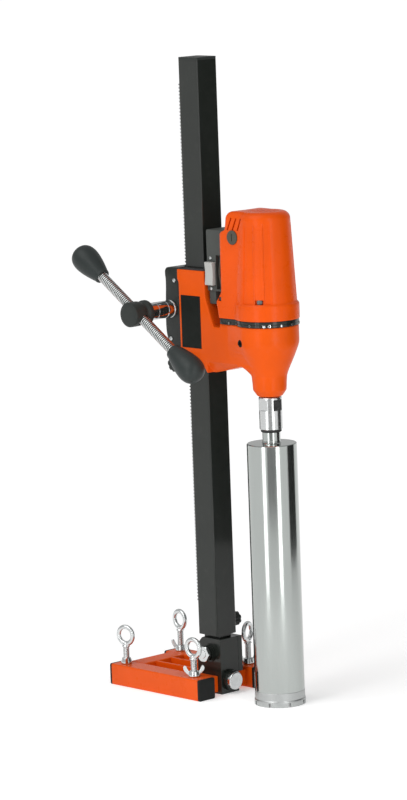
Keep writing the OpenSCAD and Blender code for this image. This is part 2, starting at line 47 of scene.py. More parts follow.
# ------------------------------------------------------------------ camera
cam_data = bpy.data.cameras.new("cam")
cam = bpy.data.objects.new("cam", cam_data)
COLL.objects.link(cam)
right = Vector((0.68567298, 0.72703068, -0.03576248))
up = Vector((-0.0838602, 0.12770209, 0.98826092))
back = Vector((0.72306295, -0.67462476, 0.14853081))
cam.matrix_world = Matrix(((right.x, up.x, back.x, 5.20259), (right.y, up.y, back.y, -4.86862), (right.z, up.z, back.z, 1.61960), (0, 0, 0, 1)))
cam_data.sensor_width = 36
cam_data.sensor_fit = "AUTO"
cam_data.lens = 3899.67/800*36
cam_data.clip_start, cam_data.clip_end = 0.1, 60
bpy.context.scene.camera = cam

# ------------------------------------------------------------------ node material helpers
def nt(name):
    m = bpy.data.materials.new(name)
    m.use_nodes = True
    t = m.node_tree
    t.nodes.clear()
    out = t.nodes.new("ShaderNodeOutputMaterial")
    b = t.nodes.new("ShaderNodeBsdfPrincipled")
    t.links.new(b.outputs[0], out.inputs[0])
    tc = t.nodes.new("ShaderNodeTexCoord")
    return m, t, b, tc

def add(t, kind, **kw):
    n = t.nodes.new(kind)
    for k, v in kw.items():
        setattr(n, k, v)
    return n

def mapping(t, tc, scale):
    mp = add(t, "ShaderNodeMapping")
    mp.inputs["Scale"].default_value = scale
    t.links.new(tc.outputs["Object"], mp.inputs["Vector"])
    return mp

def noise_tex(t, vec, scale, detail=4, rough=0.5):
    n = add(t, "ShaderNodeTexNoise")
    n.inputs["Scale"].default_value = scale
    n.inputs["Detail"].default_value = detail
    n.inputs["Roughness"].default_value = rough
    t.links.new(vec, n.inputs["Vector"])
    return n

def ramp(t, fac, stops):
    r = add(t, "ShaderNodeValToRGB")
    e = r.color_ramp.elements
    while len(e) > 1:
        e.remove(e[-1])
    e[0].position, e[0].color = stops[0][0], stops[0][1]
    for p, c in stops[1:]:
        k = e.new(p)
        k.color = c
    t.links.new(fac, r.inputs["Fac"])
    return r

def g(v, a=1.0):
    return (v, v, v, a)

def c4(c, k=1.0):
    return (min(1, c[0]*k), min(1, c[1]*k), min(1, c[2]*k), 1.0)

def map_range(t, val, a, b, c, d):
    n = add(t, "ShaderNodeMapRange")
    for i, x in zip((1, 2, 3, 4), (a, b, c, d)):
        n.inputs[i].default_value = x
    t.links.new(val, n.inputs[0])
    return n

def bump(t, b, height, strength, dist):
    n = add(t, "ShaderNodeBump")
    n.inputs["Strength"].default_value = strength
    n.inputs["Distance"].default_value = dist
    t.links.new(height, n.inputs["Height"])
    t.links.new(n.outputs[0], b.inputs["Normal"])
    return n

def coat_mat(name, col, rough=0.35, coat=0.0, coat_rough=0.2, var=0.06, peel=0.15, peel_scale=900, metal=0.0, spec=0.5, dirt=0.0, scuff=0.0):
    """Painted or moulded surface: slight colour drift, orange peel or grain, dust in broad patches and fine scuffs."""
    m, t, b, tc = nt(name)
    big = noise_tex(t, tc.outputs["Object"], 14, 3)
    fine = noise_tex(t, tc.outputs["Object"], peel_scale, 2)
    stops = [(0.3, c4(col, 1 - var)), (0.7, c4(col, 1 + var))]
    cr = ramp(t, big.outputs["Fac"], stops)
    colour = cr.outputs["Color"]
    if dirt:
        d = noise_tex(t, tc.outputs["Object"], 55, 8, 0.65)
        dr = ramp(t, d.outputs["Fac"], [(0.55, g(0)), (0.8, g(dirt))])
        mix = add(t, "ShaderNodeMix", data_type="RGBA")
        t.links.new(dr.outputs["Color"], mix.inputs[0])
        t.links.new(colour, mix.inputs[6])
        mix.inputs[7].default_value = (0.45, 0.42, 0.38, 1)
        colour = mix.outputs[2]
    t.links.new(colour, b.inputs["Base Color"])
    rn = noise_tex(t, tc.outputs["Object"], 60, 6, 0.6)
    lo, hi = rough*0.82, rough*1.18 + scuff
    t.links.new(map_range(t, rn.outputs["Fac"], 0.3, 0.75, lo, hi).outputs[0], b.inputs["Roughness"])
    b.inputs["Metallic"].default_value = metal
    b.inputs["Specular IOR Level"].default_value = spec
    if coat:
        b.inputs["Coat Weight"].default_value = coat
        b.inputs["Coat Roughness"].default_value = coat_rough
    bump(t, b, fine.outputs["Fac"], peel, 0.0003)
    return m

def metal_mat(name, col, rough=0.25, stretch=(1, 1, 1), scale=120, aniso=0.0, var=0.12, bumps=0.1, bscale=400):
    m, t, b, tc = nt(name)
    mp = mapping(t, tc, stretch)
    n1 = noise_tex(t, mp.outputs[0], scale, 6, 0.6)
    cr = ramp(t, n1.outputs["Fac"], [(0.3, c4(col, 1 - var)), (0.7, c4(col, 1 + var*0.6))])
    t.links.new(cr.outputs["Color"], b.inputs["Base Color"])
    t.links.new(map_range(t, n1.outputs["Fac"], 0.3, 0.7, rough*0.75, rough*1.3).outputs[0], b.inputs["Roughness"])
    b.inputs["Metallic"].default_value = 1.0
    if aniso:
        b.inputs["Anisotropic"].default_value = aniso
    n2 = noise_tex(t, mp.outputs[0], bscale, 3, 0.5)
    bump(t, b, n2.outputs["Fac"], bumps, 0.0002)
    return m

ORANGE = (0.70, 0.084, 0.0035)
MAT = {
    "orange_paint": coat_mat("orange_paint", ORANGE, 0.36, spec=0.08, coat=0.04, coat_rough=0.12, peel=0.10, dirt=0.03),
    "orange_plastic": coat_mat("orange_plastic", (0.71, 0.079, 0.0030), 0.30, spec=0.1, coat=0.04, coat_rough=0.15, peel=0.12, peel_scale=1500),
    "black_paint": coat_mat("black_paint", (0.0115, 0.0142, 0.0118), 0.34, var=0.1, peel=0.12, scuff=0.06, dirt=0.015, spec=0.15, coat=0.5, coat_rough=0.06),
    "black_plastic": coat_mat("black_plastic", (0.023, 0.027, 0.025), 0.5, var=0.12, peel=0.25, peel_scale=1800, spec=0.25),
    "grip_plastic": coat_mat("grip_plastic", (0.024, 0.030, 0.029), 0.42, var=0.1, peel=0.08, peel_scale=900, spec=0.25),
    "grey_plastic": coat_mat("grey_plastic", (0.060, 0.065, 0.060), 0.5, var=0.08, peel=0.3, peel_scale=1600, spec=0.25),
    "light_grey_plastic": coat_mat("light_grey_plastic", (0.42, 0.42, 0.40), 0.4, var=0.05, peel=0.15, peel_scale=1600, spec=0.3),
    "panel_black": coat_mat("panel_black", (0.0075, 0.0098, 0.0080), 0.6, var=0.1, peel=0.3, peel_scale=2200, spec=0.12),
    "rubber": coat_mat("rubber", (0.018, 0.018, 0.018), 0.75, var=0.1, peel=0.4, peel_scale=1200),
    "pad_plastic": coat_mat("pad_plastic", (0.75, 0.75, 0.70), 0.4, peel=0.1),
    "lamination": coat_mat("lamination", (0.12, 0.12, 0.13), 0.4, metal=0.7),
    "copper": metal_mat("copper", (0.72, 0.36, 0.2), 0.3),
    "carbon": coat_mat("carbon", (0.04, 0.04, 0.04), 0.6),
    "brass": metal_mat("brass", (0.75, 0.55, 0.22), 0.28),
    "zinc": metal_mat("zinc", (0.66, 0.68, 0.68), 0.2, scale=160, var=0.15, bumps=0.25, bscale=260),
    "bearing_steel": metal_mat("bearing_steel", (0.62, 0.62, 0.63), 0.15),
    "steel": metal_mat("steel", (0.58, 0.59, 0.59), 0.24, stretch=(1, 1, 14), scale=120),
    "barrel_steel": metal_mat("barrel_steel", (0.43, 0.455, 0.44), 0.13, stretch=(1, 1, 0.02), scale=900, var=0.05, bumps=0.06, bscale=2500),
    "segment_steel": metal_mat("segment_steel", (0.47, 0.485, 0.48), 0.4, scale=300, var=0.08, bumps=0.35, bscale=900),
}

MAT["neck_chrome"] = metal_mat("neck_chrome", (0.62, 0.63, 0.64), 0.12, scale=90, var=0.2, bumps=0.05, bscale=300)
MAT["dark_screw"] = metal_mat("dark_screw", (0.16, 0.165, 0.16), 0.4, scale=200)
MAT["cap_grey"] = coat_mat("cap_grey", (0.075, 0.070, 0.055), 0.5, var=0.08, peel=0.3, peel_scale=1500, spec=0.2)
# darker steel used as painted shade in the handle rod's thread roots
MAT["thread_groove_shade"] = metal_mat("thread_groove_shade", (0.16, 0.165, 0.155), 0.45, scale=300)
MAT["housing_black"] = coat_mat("housing_black", (0.015, 0.018, 0.016), 0.36, var=0.1, peel=0.2, peel_scale=1500, spec=0.25, coat=0.1)
MAT["bar_paint"] = coat_mat("bar_paint", ORANGE, 0.3, spec=0.1, coat=0.12, coat_rough=0.08, peel=0.06, dirt=0.04)
MAT["end_black"] = coat_mat("end_black", (0.010, 0.011, 0.0105), 0.5, var=0.1, peel=0.2, peel_scale=1600, spec=0.15)
MAT["turned_steel"] = metal_mat("turned_steel", (0.60, 0.61, 0.61), 0.2, stretch=(1, 1, 8), scale=150, bumps=0.15)

def set_mat(o, m):
    o.data.materials.clear()
    o.data.materials.append(MAT[m] if isinstance(m, str) else m)
    return o

for n, o in NODES.items():
    set_mat(o, SLOT_OF[n])


# ------------------------------------------------------------------ mesh helpers
def finish_mesh(name, bm, body, mat, node=(), angle=38, wn=True, recalc=True):
    """Turns a bmesh (in mm) into a piece that rides on a body and stands for the CAD nodes named."""
    if recalc:
        bmesh.ops.recalc_face_normals(bm, faces=bm.faces[:])
    bmesh.ops.scale(bm, vec=(MM, MM, MM), verts=bm.verts[:])
    me = bpy.data.meshes.new(name)
    bm.to_mesh(me)
    bm.free()
    return finish_me(name, me, body, mat, node, angle, wn)

def finish_me(name, me, body, mat, node=(), angle=38, wn=True):
    o = bpy.data.objects.new(name, me)
    COLL.objects.link(o)
    me.polygons.foreach_set("use_smooth", [True]*len(me.polygons))
    me.set_sharp_from_angle(angle=math.radians(angle))
    set_mat(o, mat)
    if wn:
        md = o.modifiers.new("wn", "WEIGHTED_NORMAL")
        md.keep_sharp = True
    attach(o, body)
    if isinstance(node, str):
        node = (node,)
    if node:
        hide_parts(*node)
    elif isinstance(mat, str):
        o if mat in [m["slot"] for m in frame["record"]["materials"]] else None
    return o

def basis(origin, axis, ref=None):
    a = Vector(axis).normalized()
    r = Vector(ref) if ref is not None else (Vector((1, 0, 0)) if abs(a.x) < 0.9 else Vector((0, 1, 0)))
    x = (r - a*r.dot(a)).normalized()
    y = a.cross(x)
    return Vector(origin), x, y, a

def revolve(bm, prof, origin, axis=(0, 0, 1), n=64, closed=False, wobble=None):
    """prof: (radius, height) pairs along the axis."""
    O, x, y, a = basis(origin, axis)
    rings = []
    for r, h in prof:
        if r < 1e-6:
            rings.append([bm.verts.new(O + a*h)])
        else:
            ring = []
            for i in range(n):
                t = 2*math.pi*i/n
                rr = r + (wobble(t, h) if wobble else 0)
                ring.append(bm.verts.new(O + a*h + x*(rr*math.cos(t)) + y*(rr*math.sin(t))))
            rings.append(ring)
    pairs = list(zip(rings[:-1], rings[1:])) + ([(rings[-1], rings[0])] if closed else [])
    for A, B in pairs:
        for i in range(n):
            j = (i + 1) % n
            q = [A[i % len(A)], A[j % len(A)], B[j % len(B)], B[i % len(B)]]
            q = [v for k, v in enumerate(q) if v not in q[:k]]
            if len(q) >= 3:
                bm.faces.new(q)
    return rings

def prism(bm, pts, origin, ex, ey, ez, h0, h1):
    ex, ey, ez, O = Vector(ex), Vector(ey), Vector(ez), Vector(origin)
    A = [bm.verts.new(O + ex*p[0] + ey*p[1] + ez*h0) for p in pts]
    B = [bm.verts.new(O + ex*p[0] + ey*p[1] + ez*h1) for p in pts]
    n = len(pts)
    fs = [bm.faces.new([A[i], A[(i + 1) % n], B[(i + 1) % n], B[i]]) for i in range(n)]
    fs += [bm.faces.new(A), bm.faces.new(B)]
    return A, B, fs

def box_bm(bm, x0, x1, y0, y1, z0, z1):
    vs = [bm.verts.new((x, y, z)) for x in (x0, x1) for y in (y0, y1) for z in (z0, z1)]
    for f in ((0, 1, 3, 2), (4, 6, 7, 5), (0, 4, 5, 1), (2, 3, 7, 6), (0, 2, 6, 4), (1, 5, 7, 3)):
        bm.faces.new([vs[i] for i in f])
    return vs

def bevel(bm, width, seg=3, angle=30, pick=None):
    bmesh.ops.recalc_face_normals(bm, faces=bm.faces[:])
    bm.normal_update()
    es = [e for e in bm.edges if len(e.link_faces) == 2 and e.calc_face_angle(0) > math.radians(angle) and (pick is None or pick(e))]
    if es:
        bmesh.ops.bevel(bm, geom=es, offset=width, offset_type="OFFSET", segments=seg, profile=0.5, affect="EDGES", clamp_overlap=True)

def from_cad(node, width=0.6, seg=2, angle=32, mat=None, dissolve=0.6, sharp=38, name=None):
    """The CAD node's own shape with its edges broken, as a separate piece."""
    bm = bmesh.new()
    bm.from_mesh(NODES[node].data)
    bmesh.ops.scale(bm, vec=(1000, 1000, 1000), verts=bm.verts[:])
    bmesh.ops.remove_doubles(bm, verts=bm.verts[:], dist=0.002)
    bmesh.ops.dissolve_limit(bm, angle_limit=math.radians(dissolve), verts=bm.verts[:], edges=bm.edges[:], use_dissolve_boundaries=False)
    bevel(bm, width, seg, angle)
    bmesh.ops.remove_doubles(bm, verts=bm.verts[:], dist=0.001)
    return finish_mesh(name or node + "_part", bm, BODY_OF[node], mat or SLOT_OF[node], node, angle=sharp, recalc=True)

def temp(bm, name="t"):
    me = bpy.data.meshes.new(name)
    bmesh.ops.recalc_face_normals(bm, faces=bm.faces[:])
    bm.to_mesh(me)
    bm.free()
    o = bpy.data.objects.new(name, me)
    COLL.objects.link(o)
    return o

def apply_mods(o):
    dg = bpy.context.evaluated_depsgraph_get()
    dg.update()
    me = bpy.data.meshes.new_from_object(o.evaluated_get(dg))
    old = o.data
    o.modifiers.clear()
    o.data = me
    bpy.data.meshes.remove(old)
    return o

def drop(o):
    me = o.data
    bpy.data.objects.remove(o)
    bpy.data.meshes.remove(me)

def remesh(o, voxel, smooth=4, factor=0.5):
    md = o.modifiers.new("r", "REMESH")
    md.mode = "VOXEL"
    md.voxel_size = voxel
    md.adaptivity = 0
    if smooth:
        s = o.modifiers.new("s", "SMOOTH")
        s.iterations = smooth
        s.factor = factor
    return apply_mods(o)

def decimate(o, ratio):
    md = o.modifiers.new("d", "DECIMATE")
    md.ratio = ratio
    return apply_mods(o)

def cut(o, tool, op="DIFFERENCE"):
    md = o.modifiers.new("b", "BOOLEAN")
    md.object = tool
    md.operation = op
    md.solver = "EXACT"
    apply_mods(o)
    drop(tool)
    return o

def to_piece(o, name, body, mat, node=(), angle=38, wn=False):
    """A working object in mm becomes a piece in metres."""
    bm = bmesh.new()
    bm.from_mesh(o.data)
    drop(o)
    bmesh.ops.remove_doubles(bm, verts=bm.verts[:], dist=0.0005)
    loose = [v for v in bm.verts if not v.link_faces]
    bmesh.ops.delete(bm, geom=loose, context="VERTS")
    return finish_mesh(name, bm, body, mat, node, angle=angle, wn=wn, recalc=False)

def circle_pts(r, n, a0=0):
    return [(r*math.cos(a0 + 2*math.pi*i/n), r*math.sin(a0 + 2*math.pi*i/n)) for i in range(n)]

def smooth_step(a, b, x):
    t = max(0.0, min(1.0, (x - a)/(b - a)))
    return t*t*(3 - 2*t)

def smax(a, b, k):
    h = max(k - abs(a - b), 0.0)/k
    return max(a, b) + h*h*k*0.25

def interp(pts, z):
    if z <= pts[0][0]:
        return pts[0][1]
    for (a, va), (b, vb) in zip(pts, pts[1:]):
        if z <= b:
            return va + (vb - va)*(z - a)/(b - a)
    return pts[-1][1]
# ------------------------------------------------------------------ sizes shared with the frame
PIN = Vector((-54.2, 0, 720))
BX, MX = 162.0, 130.0
ARM = math.radians(34)
ARM_DIR = Vector((-math.cos(ARM), 0, math.sin(ARM)))
HUB_C = Vector((-54.2, -121, 720))

# ------------------------------------------------------------------ feed handle
def threaded(bm, origin, axis, r, h0, h1, pitch, depth, n=40, per=10, chamfer=1.5):
    """A rod with a rounded thread, closed at both ends."""
    O, x, y, a = basis(origin, axis)
    m = max(4, int(round((h1 - h0)/pitch*per)))
    rings = []
    for k in range(m + 1):
        h = h0 + (h1 - h0)*k/m
        ring = []
        e = min(h - h0, h1 - h)
        for i in range(n):
            t = 2*math.pi*i/n
            f = (h/pitch - i/n) % 1.0
            tri = abs(2*f - 1)
            prof = smooth_step(0.18, 0.82, tri)
            rr = r - depth*prof
            if e < chamfer:
                rr = min(rr, r - depth*1.05 + e*0.8)
            ring.append(bm.verts.new(O + a*h + x*(rr*math.cos(t)) + y*(rr*math.sin(t))))
        rings.append(ring)
    for A, B in zip(rings, rings[1:]):
        for i in range(n):
            j = (i + 1) % n
            bm.faces.new([A[i], A[j], B[j], B[i]])
    bm.faces.new(rings[0])
    bm.faces.new(rings[-1])

def shade_thread_grooves(o, origin, axis, r):
    """Painted shade: the faces in the thread roots get a darker material."""
    o.data.materials.append(MAT["thread_groove_shade"])
    a = Vector(axis).normalized()
    for f in o.data.polygons:
        d = f.center - Vector(origin)
        d = d - a*d.dot(a)
        if d.length < r:
            f.material_index = 1

bm = bmesh.new()
threaded(bm, HUB_C, ARM_DIR, 9.8, -139.5, 139.5, 4.0, 2.0, n=44, per=12)
o = finish_mesh("handle_threaded_rod", bm, "feed_handle", "zinc", "handle_rod", angle=60, wn=False)
# painted shade in the rod's thread roots: a darker material on the groove faces
shade_thread_grooves(o, HUB_C*MM, ARM_DIR, 8.75*MM)

def grip(s):
    """Ball-ended plastic grip screwed on the rod."""
    bm = bmesh.new()
    prof = [(9.9, 112.5), (11.6, 110.9), (13.4, 110.7), (14.2, 111.4), (14.9, 113.5), (15.4, 117), (17.0, 122), (19.0, 129), (21.1, 137), (22.9, 145), (24.2, 152),
            (25.0, 159), (25.2, 164), (24.9, 169), (24.1, 173.5), (22.6, 178), (20.2, 182), (16.8, 185.4), (12.4, 188), (7.6, 189.5), (3, 190), (0, 190)]
    # rounded spline through the profile
    fine = []
    for i in range(len(prof) - 1):
        p0, p1, p2, p3 = prof[max(i - 1, 0)], prof[i], prof[i + 1], prof[min(i + 2, len(prof) - 1)]
        for k in range(4):
            t = k/4
            fine.append(tuple(0.5*(2*p1[j] + (p2[j] - p0[j])*t + (2*p0[j] - 5*p1[j] + 4*p2[j] - p3[j])*t*t + (3*p1[j] - p0[j] - 3*p2[j] + p3[j])*t**3) for j in (0, 1)))
    fine.append((0, 190))
    fine = [(9.9, 136)] + fine
    fine = [(0, 136)] + fine
    # moulding line: a hair-wide ridge on two sides
    revolve(bm, fine, HUB_C, ARM_DIR*s, n=72, wobble=lambda t, h: 0.12*max(0, 1 - abs(math.sin(t))*28) if h > 116 else 0)
    return bm
for s, nm in ((1, "upper"), (-1, "lower")):
    bm = grip(s)
    o = finish_mesh("grip_" + nm, bm, "feed_handle", "grip_plastic", ("handle_grips",) if s > 0 else (), angle=50, wn=False)

def hub():
    bm = bmesh.new()
    prof = [(0, -145), (14, -145), (19.6, -144.8), (21.6, -144.1), (22.7, -142.7), (23, -141), (23, -134), (23, -128), (22.9, -123), (22.2, -119.5), (20.6, -116.5), (20.0, -113.8), (20.5, -111.2), (22.3, -109), (23, -106.4), (23, -101.5), (22.6, -100),
            (21.6, -98.9), (20.0, -98.4), (16.2, -98), (0, -98)]
    revolve(bm, prof, (-54.2, 0, 720), (0, 1, 0), n=96)
    o = temp(bm, "hub")
    bm = bmesh.new()
    revolve(bm, [(0, -34), (12.2, -34), (12.2, -19.6), (10.2, -18.4), (10.05, -17), (10.05, 17), (10.2, 18.4), (12.2, 19.6), (12.2, 34), (0, 34)], HUB_C, ARM_DIR, n=64)
    cut(o, temp(bm, "b"))
    return o
o = hub()
to_piece(o, "handle_hub_cap", "feed_handle", "black_plastic", "handle_hub", angle=30)

# neck sleeve: turned, with a grip ring at the case end
bm = bmesh.new()
revolve(bm, [(10.1, -98), (15.6, -98), (16.2, -97.4), (16.2, -82), (15.8, -81.4), (15.8, -80.2), (16.2, -79.6), (16.2, -60), (15.6, -59), (15.6, -56.5), (16.2, -55.6), (16.2, -44), (15.2, -42.6), (10.1, -42.6)],
        (-54.2, 0, 720), (0, 1, 0), n=96)
finish_mesh("neck_sleeve", bm, "feed_handle", "neck_chrome", "feed_neck_sleeve", angle=30)

# shaft and pinion
from_cad("feed_shaft", 0.6, 2)
from_cad("feed_pinion", 0.15, 1)

# flanged bushes with a knurled bright rim
for s in (-1, 1):
    bm = bmesh.new()
    y0 = 36 if s > 0 else -42.2
    y1 = 40 if s > 0 else -36
    lo_, hi_ = (y0, y1)
    f = lambda t, h: (-0.45 if (int(t/(2*math.pi)*48*2) % 2) else 0.0)
    revolve(bm, [(10.06, lo_), (14.6, lo_), (16.6, lo_ + 0.8), (17.0, lo_ + 1.6), (17.0, hi_ - 1.6), (16.6, hi_ - 0.6), (15.8, hi_), (10.06, hi_)], (-54.2, 0, 720), (0, 1, 0), n=192, closed=True,
            wobble=lambda t, h, a=lo_, b=hi_: (-0.5*(0.5 + 0.5*math.cos(t*48)) if a + 0.7 < h < b - 0.5 else 0))
    revolve(bm, [(10.06, -36 if s < 0 else 13), (12.98, -36 if s < 0 else 13), (12.98, -13 if s < 0 else 36), (10.06, -13 if s < 0 else 36)], (-54.2, 0, 720), (0, 1, 0), n=64, closed=True)
    finish_mesh("feed_bush_" + ("near" if s < 0 else "far"), bm, "carriage", "zinc", "feed_bushes" if s < 0 else (), angle=30, wn=False)
# ------------------------------------------------------------------ more mesh helpers
def solver_cut(o, tool, op="DIFFERENCE"):
    md = o.modifiers.new("b", "BOOLEAN")
    md.object = tool
    md.operation = op
    try:
        md.solver = "MANIFOLD"
    except TypeError:
        md.solver = "EXACT"
    n0 = len(o.data.polygons)
    apply_mods(o)
    if len(o.data.polygons) < n0*0.5:
        print("CUT LOST FACES", o.name, n0, len(o.data.polygons))
    drop(tool)
    return o

def union(objs):
    base = objs[0]
    for t in objs[1:]:
        solver_cut(base, t, "UNION")
    return base

def cyl(bm, origin, axis, r, h0, h1, n=48, r2=None):
    revolve(bm, [(0, h0), (r, h0), (r if r2 is None else r2, h1), (0, h1)], origin, axis, n=n)

def tmp_box(*a):
    bm = bmesh.new()
    box_bm(bm, *a)
    return temp(bm)

def tmp_cyl(origin, axis, r, h0, h1, n=48, r2=None):
    bm = bmesh.new()
    cyl(bm, origin, axis, r, h0, h1, n, r2)
    return temp(bm)

def rot_box(bm, centre, size, angle_y):
    vs = box_bm(bm, -size[0]/2, size[0]/2, -size[1]/2, size[1]/2, -size[2]/2, size[2]/2)
    M = Matrix.Translation(Vector(centre)) @ Matrix.Rotation(angle_y, 4, "Y")
    bmesh.ops.transform(bm, matrix=M, verts=vs)
    return vs

# ------------------------------------------------------------------ motor cover
COVER_R = [(713, 58.4), (714.2, 58.8), (738.5, 58.8), (740.6, 58.3), (742.2, 57.0), (743.6, 55.6), (745, 54.9), (893, 47.4), (930, 45.4)]
COVER_X = [(713, 80.0), (739, 75.0), (743, 75.4), (757, 85.6), (760, 87.0), (764, 87.6), (866, 88.0), (870, 90.5), (874, 99.8), (877, 101.6), (894, 103.6), (930, 107)]
COVER_W = [(713, 45.8), (860, 45.1), (905, 43.6)]

def cover_r(th, z, inset=0.0):
    c, s = math.cos(th), math.sin(th)
    R = interp(COVER_R, z)
    r = R
    if c < -0.05:
        a = (BX - interp(COVER_X, z))/(-c)
        b = interp(COVER_W, z)/max(abs(s), 1e-3)
        rb = -smax(-a, -b, 9.0)
        r = smax(R, rb, 2.2)
    phi = math.degrees(th) + 90
    if phi > 180:
        phi -= 360
    # the same panel is on both sides of the cover
    pf = min((abs(phi - 25.5), abs((180 - phi if phi > 0 else -180 - phi) - 25.5)))
    p = phi if abs(phi - 25.5) <= abs((180 - phi) - 25.5) else 180 - phi
    if -12 < p < 64 and z > 743.5:
        win = smooth_step(-7.2, -5.4, p)*(1 - smooth_step(54.6, 57.2, p))
        top = 1 - smooth_step(880, 893, z)
        w_ = win*top
        flute = 0
        for q in (20.5, 40.5):
            flute = max(flute, math.exp(-((p - q)/1.7)**2))
        dip = 0.25*math.cos((p - 20.5)/20*2*math.pi)
        r -= w_*(1.9 - 1.7*flute - dip*0.6)
    return r - inset

def build_cover():
    th = []
    p = -180.0
    marks = []
    def dense(a):
        for s in (1, -1):
            q = a if s > 0 else 180 - a
            if -12 <= q <= 64:
                return True
        return False
    while p < 180.0 - 1e-6:
        th.append(math.radians(p - 90))
        q = p if p <= 90 else 180 - p
        p += 0.45 if (-12 <= p <= 64 or 116 <= p <= 192 or p < -168) else 1.5
    zs = [713.0, 713.5, 714.2, 718, 724, 730, 735, 738.5, 739.6, 740.6, 741.4, 742.2, 742.9, 743.5, 744.2, 745, 747]
    z = 748.5
    while z < 756:
        zs.append(z); z += 2
    zs += [757, 758.5, 760, 762, 764]
    z = 767.0
    while z < 864:
        zs.append(z); z += 3.5
    zs += [865, 866, 867, 868, 869, 870, 871, 872, 873, 874, 875, 876, 877, 879, 881, 884, 887, 890, 892]
    bm = bmesh.new()
    rows = []
    def row(z_eval, z, inset, k=1.0):
        ring = []
        for t in th:
            r = cover_r(t, z_eval, inset)*k
            ring.append(bm.verts.new((BX + r*math.cos(t), r*math.sin(t), z)))
        rows.append(ring)
    for z in zs:
        row(z, z, 0)
    H = 15.0
    for i in range(1, 13):
        a = math.pi/2*i/12
        row(893.5, 893.5 + H*math.sin(a), H*(1 - math.cos(a)))
    for k in (0.96, 0.9, 0.8, 0.66, 0.5, 0.33, 0.16):
        row(893.5, 908.5 + 0.8*(1 - k*k), H, k)
    n = len(th)
    for A, B in zip(rows, rows[1:]):
        for i in range(n):
            j = (i + 1) % n
            bm.faces.new((A[i], A[j], B[j], B[i]))
    c = bm.verts.new((BX, 0, 909.35))
    for i in range(n):
        bm.faces.new((rows[-1][i], rows[-1][(i + 1) % n], c))
    b0 = bm.verts.new((BX, 0, 713))
    for i in range(n):
        bm.faces.new((rows[0][(i + 1) % n], rows[0][i], b0))
    o = temp(bm, "cover")
    # vents, screw pockets and the grille on top
    bm = bmesh.new()
    for s in (-1, 1):
        for i in range(3):
            vs = rot_box(bm, (116 + 13*i, s*46, 886), (3.4, 12, 24.5), math.radians(24))
        f1 = math.radians(31) if s < 0 else math.radians(31)
        cx, cy = BX + 55*math.sin(f1), s*55*math.cos(f1)
        vs = box_bm(bm, -8.2, 8.2, -6, 6, -4.2, 4.2)
        bmesh.ops.transform(bm, matrix=Matrix.Translation((cx, cy, 747.6)) @ Matrix.Rotation(-s*f1 if s < 0 else -f1, 4, "Z"), verts=vs)
        box_bm(bm, 81.6, 90.2, s*40 if s > 0 else -50, 50 if s > 0 else s*40, 743.8, 751.8)
    tool = temp(bm)
    solver_cut(o, tool)
    bm = bmesh.new()
    for i in range(7):
        y = -21 + 7*i
        L = math.sqrt(29*29 - y*y)
        box_bm(bm, BX - L, BX + L, y - 1.5, y + 1.5, 905.6, 930)
    solver_cut(o, temp(bm))
    solver_cut(o, tmp_cyl((124, 0, 862), (0, 1, 0), 13.4, -60, -44.2, 64))
    solver_cut(o, tmp_cyl((124, 0, 862), (0, 1, 0), 13.4, 44.2, 60, 64))
    return o
to_piece(build_cover(), "motor_cover_shell", "carriage", "orange_plastic", "motor_cover", angle=34)

def screw_head(name, centre, axis, r, h, body, mat, slot="cross", node=(), ref=None, dome=0.25):
    """A small screw head standing on a face: centre on the face, axis outwards."""
    bm = bmesh.new()
    revolve(bm, [(0, -1.5), (r*0.9, -1.5), (r, -1.2), (r, h*0.45), (r*0.93, h*0.8), (r*0.72, h), (0, h + dome)], centre, axis, n=36)
    o = temp(bm)
    O, x, y, a = basis(centre, axis, ref)
    bm = bmesh.new()
    if slot == "hex":
        revolve(bm, [(0, h - 1.6), (r*0.48, h - 1.6), (r*0.48, h + 3), (0, h + 3)], centre, axis, n=6)
    elif slot == "line":
        prism(bm, [(-r*1.2, -r*0.13), (r*1.2, -r*0.13), (r*1.2, r*0.13), (-r*1.2, r*0.13)], O, x, y, a, h - 0.9, h + 3)
    else:
        prism(bm, [(-r*0.62, -r*0.13), (-r*0.13, -r*0.13), (-r*0.13, -r*0.62), (r*0.13, -r*0.62), (r*0.13, -r*0.13), (r*0.62, -r*0.13),
                   (r*0.62, r*0.13), (r*0.13, r*0.13), (r*0.13, r*0.62), (-r*0.13, r*0.62), (-r*0.13, r*0.13), (-r*0.62, r*0.13)], O, x, y, a, h - 0.8, h + 3)
    cut(o, temp(bm))
    return to_piece(o, name, body, mat, node, angle=30)

for s, nm in ((-1, "near"), (1, "far")):
    f1 = math.radians(31)
    n_ = Vector((math.sin(f1), s*math.cos(f1), 0))
    screw_head("cover_screw_" + nm, Vector((BX, 0, 747.8)) + n_*50.0, n_, 5.4, 2.0, "carriage", "dark_screw")
    screw_head("cover_corner_screw_" + nm, Vector((85.9, s*41.0, 747.8)), (0, s, 0), 3.7, 2.6, "carriage", "dark_screw")
    # brush caps: slotted discs
    bm = bmesh.new()
    revolve(bm, [(0, 38), (11.9, 38), (11.9, 44.6), (12.9, 45.2), (13.0, 46.3), (12.3, 47.0), (9.2, 47.1), (8.6, 46.7), (0, 46.6)], (124, 0, 862), (0, s, 0), n=64)
    o = temp(bm)
    bm = bmesh.new()
    prism(bm, [(-1.5, -6.6), (1.5, -6.6), (1.5, 6.6), (-1.5, 6.6)], (124, 0, 862), (1, 0, 0), (0, 0, 1), (0, s, 0), 45.35, 60)
    cut(o, temp(bm))
    to_piece(o, "brush_cap_" + nm, "carriage", "cap_grey", "brush_caps" if s < 0 else (), angle=30)

